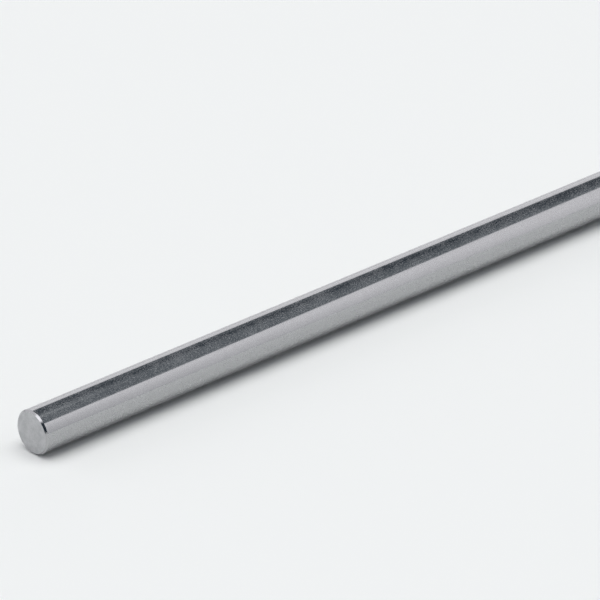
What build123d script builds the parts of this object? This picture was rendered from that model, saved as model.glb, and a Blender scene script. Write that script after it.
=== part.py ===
from build123d import *
import os

# Solid round steel bar: precision ground shafting, cut to length and chamfered at both ends.
#
# Frame: +X runs along the bar and +Z is up. The origin is on the bar's axis, halfway along it,
# so the bar lies on a level surface one radius below the origin. All sizes are in millimetres.

# Driving dimensions
BAR_DIAMETER = 25.0  # the ground outside, which bearings run on and shaft supports grip
BAR_LENGTH = 500.0  # over the two faced ends
CHAMFER = 1.0  # 45 degree chamfer at each end, as wide along the bar as it is deep


def half_section(diameter, length, chamfer):
    """Closed outline of the bar's lengthwise section above its axis, in the XZ plane."""
    radius = diameter / 2
    end = length / 2
    return Polyline(
        (-end, 0, 0),
        (-end, 0, radius - chamfer),
        (-end + chamfer, 0, radius),
        (end - chamfer, 0, radius),
        (end, 0, radius - chamfer),
        (end, 0, 0),
        close=True,
    )


def round_bar(diameter, length, chamfer):
    """The bar as one turned solid: two faced ends, a chamfer on each, the ground outside between."""
    section = make_face(half_section(diameter, length, chamfer))
    return revolve(section, axis=Axis.X, revolution_arc=360)


os.makedirs("parts", exist_ok=True)
bar = round_bar(BAR_DIAMETER, BAR_LENGTH, CHAMFER)
export_step(bar, "parts/round_bar.step")
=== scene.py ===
from math import cos, pi, radians, sin, tan

import bpy
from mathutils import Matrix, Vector


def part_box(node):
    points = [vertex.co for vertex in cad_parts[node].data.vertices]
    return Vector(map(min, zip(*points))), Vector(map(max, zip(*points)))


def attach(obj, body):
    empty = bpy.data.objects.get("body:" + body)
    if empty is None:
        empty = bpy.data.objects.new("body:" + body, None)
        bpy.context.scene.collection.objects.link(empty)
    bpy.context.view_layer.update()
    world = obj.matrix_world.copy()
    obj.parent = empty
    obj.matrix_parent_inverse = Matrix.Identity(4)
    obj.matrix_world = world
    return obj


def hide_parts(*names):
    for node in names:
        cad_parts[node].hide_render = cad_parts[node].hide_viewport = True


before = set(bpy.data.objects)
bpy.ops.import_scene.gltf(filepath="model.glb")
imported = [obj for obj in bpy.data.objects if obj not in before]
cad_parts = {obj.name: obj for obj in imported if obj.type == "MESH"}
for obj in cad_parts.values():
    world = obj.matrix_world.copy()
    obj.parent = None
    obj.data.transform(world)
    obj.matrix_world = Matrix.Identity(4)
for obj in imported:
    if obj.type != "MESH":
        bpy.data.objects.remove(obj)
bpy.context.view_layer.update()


# ---------------------------------------------------------------------------
# The bar: one piece of solid round steel. It is turned and centreless ground
# to size along its outside, then cut off, faced square at both ends, and a
# 45 degree chamfer is turned on each end to break the sharp corner.
# ---------------------------------------------------------------------------

MM = 0.001
bar_low, bar_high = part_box("round_bar")
bar_half = (bar_high.x - bar_low.x) / 2
bar_radius = (bar_high.z - bar_low.z) / 2
chamfer = 1.0 * MM
corner_radius = 0.08 * MM  # the turned chamfer meets the face and the outside in a fine worn edge
corner_steps = 4
sides = 256  # round the bar, where the flats lie under a micron off the true circle
face_rings = 12
outside_rings = 30

FACED, CHAMFERED, GROUND = range(3)  # the bar's finishes, in the order of its material slots


def worn_corner(along, out, start, stop):
    """The points of a small arc, each with its normal. Angles are in degrees from the bar's axis."""
    points = []
    for step in range(corner_steps + 1):
        turn = radians(start + (stop - start) * step / corner_steps)
        n_along, n_out = cos(turn), sin(turn)
        points.append((along + corner_radius * n_along, out + corner_radius * n_out, n_along, n_out))
    return points


def mirrored(points):
    return [(-along, out, -n_along, n_out) for along, out, n_along, n_out in points]


# The profile of the right-hand end, from its middle outwards: (along, out) and the normal there.
corner_reach = corner_radius * tan(radians(22.5))  # what an arc takes off each side of its corner
face_edge = bar_radius - chamfer - corner_reach
chamfer_edge = bar_half - chamfer - corner_reach
face = [(bar_half, face_edge * ring / face_rings, 1, 0) for ring in range(face_rings + 1)]
turned = worn_corner(bar_half - corner_radius, face_edge, 0, 45)
turned += worn_corner(chamfer_edge, bar_radius - corner_radius, 45, 90)
outside = []
for ring in range(outside_rings + 1):
    outside.append((chamfer_edge * (2 * ring / outside_rings - 1), bar_radius, 0, 1))
stretches = (
    (FACED, mirrored(face)),
    (CHAMFERED, mirrored(turned)),
    (GROUND, outside),
    (CHAMFERED, turned[::-1]),
    (FACED, face[::-1]),
)

# The surface is laid out flat for its finish: the outside in three strips, one above the other, and
# each end with its chamfer as a round beside them.
gap = 0.006  # between the pieces of the layout, which is one unit across
strips = 3
girth = 2 * pi * bar_radius
strip_scale = (1 - gap * (strips + 1)) / (girth * strips)
strip_rings = outside_rings // strips
strip_width = 2 * chamfer_edge / strips * strip_scale
round_radius = (1 - strip_width - gap * 3) / 2
round_reach = face_edge + 2 * chamfer  # a little more than the way from the middle to the ground outside
round_across = 1 - gap - round_radius


def on_strip(ring, side, strip):
    along = (ring - strip * strip_rings) / strip_rings * strip_width
    around = (strip + side / sides) * girth * strip_scale
    return gap + along, gap * (strip + 1) + around


def on_round(way, side, is_right):
    turn = 2 * pi * side / sides
    centre = gap + round_radius + is_right * (gap + 2 * round_radius)
    reach = round_radius * way / round_reach
    return round_across + reach * cos(turn), centre + reach * sin(turn)


points, normals, faces, finishes, layout = [], [], [], [], []


def add_ring(along, out, n_along, n_out):
    """One ring of points round the axis, or a single point on it."""
    first = len(points)
    if out == 0:
        points.append((along, 0, 0))
        normals.append((n_along, 0, 0))
        return [first] * (sides + 1)
    for side in range(sides):
        turn = 2 * pi * side / sides
        points.append((along, out * cos(turn), out * sin(turn)))
        normals.append((n_along, n_out * cos(turn), n_out * sin(turn)))
    return list(range(first, first + sides)) + [first]


def join_rings(here, there, finish, place_here, place_there):
    """One band of faces between two rings. Each place gives a corner's spot on the flat layout."""
    for side in range(sides):
        corners = {}
        for ring, place, at in (
            (here, place_here, side),
            (here, place_here, side + 1),
            (there, place_there, side + 1),
            (there, place_there, side),
        ):
            corners.setdefault(ring[at], place(at))
        faces.append(list(corners))
        finishes.append(finish)
        layout.extend(corners.values())


here = None
for finish, stretch in stretches:
    is_right = stretch[0][0] + stretch[-1][0] > 0
    for index, point in enumerate(stretch):
        if index == 0 and here is not None:
            continue
        there = add_ring(*point)
        if index:
            if finish == GROUND:
                strip = (index - 1) // strip_rings
                places = []
                for ring in (index - 1, index):
                    places.append(lambda side, ring=ring, strip=strip: on_strip(ring, side, strip))
            else:
                ways = []
                for along, out, *_ in (stretch[index - 1], point):
                    ways.append(out + bar_half - abs(along))
                places = [lambda side, way=way: on_round(way, side, is_right) for way in ways]
            join_rings(here, there, finish, *places)
        here = there

mesh = bpy.data.meshes.new("ground_bar")
mesh.from_pydata(points, [], faces)
mesh.polygons.foreach_set("use_smooth", [True] * len(faces))
mesh.polygons.foreach_set("material_index", finishes)
flat_layout = mesh.uv_layers.new(name="OFBake")
flat_layout.uv.foreach_set("vector", [value for spot in layout for value in spot])
mesh.normals_split_custom_set_from_vertices(normals)
bar = bpy.data.objects.new("ground_bar", mesh)
bpy.context.scene.collection.objects.link(bar)


def add(tree, kind, settings=None, **values):
    """Adds a node and fills its inputs: by name, with _ for a space, or by number, as i0 or i1.

    A value is a number, a colour or another node's output.
    """
    made = tree.nodes.new("ShaderNode" + kind)
    for name, value in (settings or {}).items():
        setattr(made, name, value)
    for name, value in values.items():
        if name[1:].isdigit():
            socket = made.inputs[int(name[1:])]
        else:
            socket = made.inputs[name.replace("_", " ")]
        if isinstance(value, bpy.types.NodeSocket):
            tree.links.new(value, socket)
        else:
            socket.default_value = value
    return made


def maths(tree, operation, *values):
    made = add(tree, "Math", {"operation": operation}, **{f"i{i}": value for i, value in enumerate(values)})
    return made.outputs[0]


def ramp(tree, value, low, high, at_low=0.0, at_high=1.0):
    """An S-curve from at_low, where value is low or less, to at_high."""
    made = add(
        tree,
        "MapRange",
        {"interpolation_type": "SMOOTHSTEP"},
        Value=value,
        From_Min=low,
        From_Max=high,
        To_Min=at_low,
        To_Max=at_high,
    )
    return made.outputs["Result"]


def noise(tree, where, size, detail=2.0, roughness=0.5):
    """Clouds of about this size, in metres, from 0 to 1."""
    made = add(tree, "TexNoise", Vector=where, Scale=1 / size, Detail=detail, Roughness=roughness)
    return made.outputs["Fac"]


def stretched(tree, where, along, across):
    """Places squeezed along the bar or across it, so that clouds there come out longer."""
    made = add(tree, "VectorMath", {"operation": "MULTIPLY"}, i0=where, i1=(along, across, across))
    return made.outputs["Vector"]


def blend_colours(tree, share, first, second):
    made = add(tree, "Mix", {"data_type": "RGBA"}, i0=share, i6=first, i7=second)
    return made.outputs[2]


def bumped(tree, height, depth, below=None):
    made = add(tree, "Bump", Height=height, Distance=depth, Strength=1.0)
    if below is not None:
        tree.links.new(below, made.inputs["Normal"])
    return made.outputs["Normal"]


def steel_finish(name):
    """A bare steel material, and the places on the bar in metres."""
    material = bpy.data.materials.new(name)
    material.use_nodes = True
    tree = material.node_tree
    shader = tree.nodes["Principled BSDF"]
    shader.inputs["Metallic"].default_value = 1.0
    mesh.materials.append(material)
    where = add(tree, "TexCoord").outputs["Object"]
    return tree, shader, where


# The faced end. The tool has left fine round marks about the middle, over faint clouds.
face_dark = (0.405, 0.41, 0.42, 1)
face_light = (0.51, 0.511, 0.524, 1)
arc_spread = 0.9 * MM  # the more, the shorter the marks are
clouds_share = 0.55
tree, shader, where = steel_finish("faced_end")
clouds = noise(tree, where, 3 * MM, detail=4, roughness=0.6)
across = add(tree, "VectorMath", {"operation": "MULTIPLY"}, i0=where, i1=(0, 1, 1)).outputs["Vector"]
out = add(tree, "VectorMath", {"operation": "LENGTH"}, i0=across).outputs["Value"]
outwards = add(tree, "VectorMath", {"operation": "NORMALIZE"}, i0=across).outputs["Vector"]
_, side_y, side_z = add(tree, "SeparateXYZ", Vector=outwards).outputs
arc_y = maths(tree, "MULTIPLY", side_y, arc_spread)
arc_z = maths(tree, "MULTIPLY", side_z, arc_spread)
arcs = add(tree, "CombineXYZ", X=out, Y=arc_y, Z=arc_z)
marks = noise(tree, arcs.outputs["Vector"], 0.3 * MM, detail=2, roughness=0.6)
clouds_tone = maths(tree, "MULTIPLY", clouds, clouds_share)
marks_tone = maths(tree, "MULTIPLY", marks, 1 - clouds_share)
tone = maths(tree, "ADD", clouds_tone, marks_tone)
face_colour = blend_colours(tree, ramp(tree, tone, 0.38, 0.62), face_dark, face_light)
tree.links.new(face_colour, shader.inputs["Base Color"])
tree.links.new(ramp(tree, tone, 0.38, 0.62, 0.31, 0.37), shader.inputs["Roughness"])
tree.links.new(bumped(tree, marks, 0.0025 * MM), shader.inputs["Normal"])

# The turned chamfer, bright from the tool.
steel_dark = (0.411, 0.413, 0.42, 1)
steel_light = (0.427, 0.43, 0.438, 1)
tree, shader, where = steel_finish("turned_chamfer")
chamfer_colour = blend_colours(tree, noise(tree, where, 1.5 * MM), steel_dark, steel_light)
tree.links.new(chamfer_colour, shader.inputs["Base Color"])
tree.links.new(ramp(tree, noise(tree, where, 0.8 * MM), 0.35, 0.7, 0.12, 0.22), shader.inputs["Roughness"])

# The ground outside, near to a mirror. Fine dull specks lie all over it, in some patches more than
# in others, and the wheel has left faint lines round it.
steel_dull = (0.46, 0.464, 0.472, 1)
speck_start, speck_full = 0.38, 0.64  # from clean steel to the middle of a speck
tree, shader, where = steel_finish("ground_outside")
specks = noise(tree, where, 0.68 * MM, detail=3, roughness=0.7)
patches = noise(tree, where, 9 * MM, detail=1)
patchiness = maths(tree, "MULTIPLY", maths(tree, "SUBTRACT", patches, 0.5), 0.2)
dulled = maths(tree, "ADD", specks, patchiness)
metallic = ramp(tree, dulled, speck_start, speck_full, 1.0, 0.66)
tree.links.new(metallic, shader.inputs["Metallic"])
bands = noise(tree, stretched(tree, where, 1, 0.1), 3 * MM, detail=3)
tone = blend_colours(tree, ramp(tree, bands, 0.3, 0.7), steel_dark, steel_light)
speck_colour = blend_colours(tree, ramp(tree, dulled, speck_start, speck_full), tone, steel_dull)
tree.links.new(speck_colour, shader.inputs["Base Color"])
clouds = noise(tree, where, 6 * MM, detail=3)
tree.links.new(ramp(tree, clouds, 0.3, 0.7, 0.05, 0.09), shader.inputs["Roughness"])
lines = noise(tree, stretched(tree, where, 1, 0.02), 0.3 * MM)
normal = bumped(tree, lines, 0.0004 * MM)
normal = bumped(tree, specks, 0.0005 * MM, normal)
tree.links.new(normal, shader.inputs["Normal"])

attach(bar, "root")
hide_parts("round_bar")


# ---------------------------------------------------------------------------
# The floor: one wide, level sheet of matt pale paper. The bar lies on it
# unheld, and it reaches far past what the camera sees.
# ---------------------------------------------------------------------------

floor_half = 24.0
paper_white = (0.9, 0.91, 0.897, 1)
floor_corners = []
for x, y in ((-1, -1), (1, -1), (1, 1), (-1, 1)):
    floor_corners.append((x * floor_half, y * floor_half, bar_low.z))
floor_mesh = bpy.data.meshes.new("floor")
floor_mesh.from_pydata(floor_corners, [], [(0, 1, 2, 3)])
floor = bpy.data.objects.new("floor", floor_mesh)
bpy.context.scene.collection.objects.link(floor)
paper = bpy.data.materials.new("floor_paper")
paper.use_nodes = True
shader = paper.node_tree.nodes["Principled BSDF"]
shader.inputs["Base Color"].default_value = paper_white
shader.inputs["Roughness"].default_value = 1.0
shader.inputs["Specular IOR Level"].default_value = 0.0
floor_mesh.materials.append(paper)


# ---------------------------------------------------------------------------
# The studio: a room of white walls with a dark ceiling, two openings between
# the walls, a soft light overhead and a smaller key light. The light and dark
# bands along the bar are this room, seen in the ground steel.
# ---------------------------------------------------------------------------

world = bpy.data.worlds.new("studio")
bpy.context.scene.world = world
world.use_nodes = True
tree = world.node_tree
background = tree.nodes["Background"]
wall_white = (1.155, 1.142, 1.175, 1)
dark_ceiling = (0.02, 0.035, 0.053, 1)
hazy_ceiling = (0.165, 0.19, 0.213, 1)
overhead_white = (2.75, 2.75, 2.75, 1)
key_white = (2.0, 1.97, 2.05, 1)

# Every way out of the room has a turn about the upright and a height above the floor, in degrees.
direction = add(tree, "TexCoord").outputs["Generated"]
x, y, z = add(tree, "SeparateXYZ", Vector=direction).outputs
height = maths(tree, "DEGREES", maths(tree, "ARCSINE", z))
turn = maths(tree, "DEGREES", maths(tree, "ARCTAN2", y, x))


def round_patch(turn_to, height_to, outer, inner):
    """1 within the inner radius of a round patch, in degrees, fading out to its outer one."""
    a, b = radians(turn_to), radians(height_to)
    towards = (cos(a) * cos(b), sin(a) * cos(b), sin(b))
    near = add(tree, "VectorMath", {"operation": "DOT_PRODUCT"}, i0=direction, i1=towards).outputs["Value"]
    return ramp(tree, near, cos(radians(outer)), cos(radians(inner)))


# The tops of the three walls.
back_top = maths(tree, "SUBTRACT", 45.0, maths(tree, "MULTIPLY", turn, 0.345))
offset = maths(tree, "MINIMUM", 0.0, maths(tree, "ADD", turn, 13.0))
right_drop = maths(tree, "MULTIPLY", maths(tree, "MULTIPLY", offset, offset), 0.0065)
right_top = maths(tree, "SUBTRACT", 47.0, right_drop)
left_top = maths(tree, "MINIMUM", 45.0, maths(tree, "ADD", -3.0, maths(tree, "MULTIPLY", turn, 0.5)))
wall_top = maths(tree, "MAXIMUM", maths(tree, "MINIMUM", back_top, right_top), left_top)
below_top = ramp(tree, maths(tree, "SUBTRACT", height, wall_top), -0.5, 0.5, 1.0, 0.0)

# How well each part of the walls is lit, and the openings between them.
lit = maths(tree, "MULTIPLY", ramp(tree, turn, -76, -43), ramp(tree, turn, 150, 178, 1.0, 0.0))
lit = maths(tree, "MULTIPLY", lit, ramp(tree, height, -4, 10, 0.82, 1.0))
lit = maths(tree, "MULTIPLY", lit, ramp(tree, turn, 10, 35, 1.0, 0.93))
back_foot = maths(tree, "MULTIPLY", ramp(tree, turn, 10, 35), ramp(tree, height, 1, 8, 0.35, 0.0))
lit = maths(tree, "MULTIPLY", lit, maths(tree, "SUBTRACT", 1.0, back_foot))
lit = maths(tree, "MULTIPLY", lit, ramp(tree, turn, 64, 92, 1.0, 0.9))
opening_edge = 8
for first, last in ((-14, 30), (64, 92)):
    near_side = ramp(tree, turn, first, first + opening_edge)
    far_side = ramp(tree, turn, last - opening_edge, last, 1.0, 0.0)
    opening = maths(tree, "MULTIPLY", near_side, far_side)
    lit = maths(tree, "MULTIPLY", lit, maths(tree, "SUBTRACT", 1.0, opening))
wall = maths(tree, "MULTIPLY", below_top, lit)

# Where the dark ceiling is paler.
hazed = maths(tree, "MULTIPLY", ramp(tree, turn, -12, 12, 1.0, 0.0), ramp(tree, turn, -80, -45))
hazed = maths(tree, "MAXIMUM", hazed, ramp(tree, height, 44, 57))
hazed = maths(tree, "MAXIMUM", hazed, ramp(tree, turn, 34, 44, 0.0, 0.36))
ceiling = blend_colours(tree, hazed, dark_ceiling, hazy_ceiling)
colour = blend_colours(tree, wall, ceiling, wall_white)
colour = blend_colours(tree, round_patch(40, 87, 32.5, 24), colour, overhead_white)
colour = blend_colours(tree, round_patch(173, 41, 20, 12), colour, key_white)
tree.links.new(colour, background.inputs["Color"])
background.inputs["Strength"].default_value = 1.0


# ---------------------------------------------------------------------------
# The camera: a long lens about three metres off, past the near end, to one
# side and well above the floor. The far end of the bar is outside the frame.
# ---------------------------------------------------------------------------

camera_data = bpy.data.cameras.new("camera")
camera = bpy.data.objects.new("camera", camera_data)
bpy.context.scene.collection.objects.link(camera)
bpy.context.scene.camera = camera
camera_data.sensor_width = 36.0
camera_data.lens = 328.05
camera_data.clip_start = 0.1
camera_data.clip_end = 60.0
camera.location = (-1.8190, -1.9351, 1.3581)
forward = Vector((0.59761, 0.65827, -0.45775)).normalized()
camera.rotation_mode = "QUATERNION"
camera.rotation_quaternion = forward.to_track_quat("-Z", "Y")

bpy.context.scene.view_settings.view_transform = "Standard"
